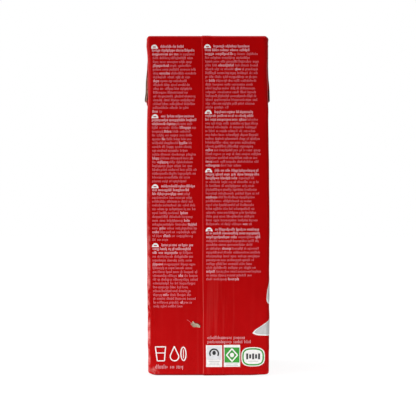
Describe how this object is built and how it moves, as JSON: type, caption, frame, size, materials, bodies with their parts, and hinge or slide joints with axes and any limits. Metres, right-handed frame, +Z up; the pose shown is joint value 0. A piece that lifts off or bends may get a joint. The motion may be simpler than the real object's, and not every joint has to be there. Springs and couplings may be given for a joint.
{
  "type": "plant milk carton",
  "caption": "Shut one-litre brick-shaped drink carton with a lengthwise back seam, folded top ears and base flaps.",
  "frame": {"origin": "on the ground under the middle of the brick", "axes": "+Z up; the panel with the lengthwise seam faces -Y; the ears are folded down on the -X and +X panels"},
  "size_m": [0.0766, 0.074, 0.2001],
  "materials": {
    "coated_board": "satin, plastic-coated printed board, deep red"
  },
  "bodies": {
    "root": {"carton": "coated_board"}
  },
  "joints": []
}
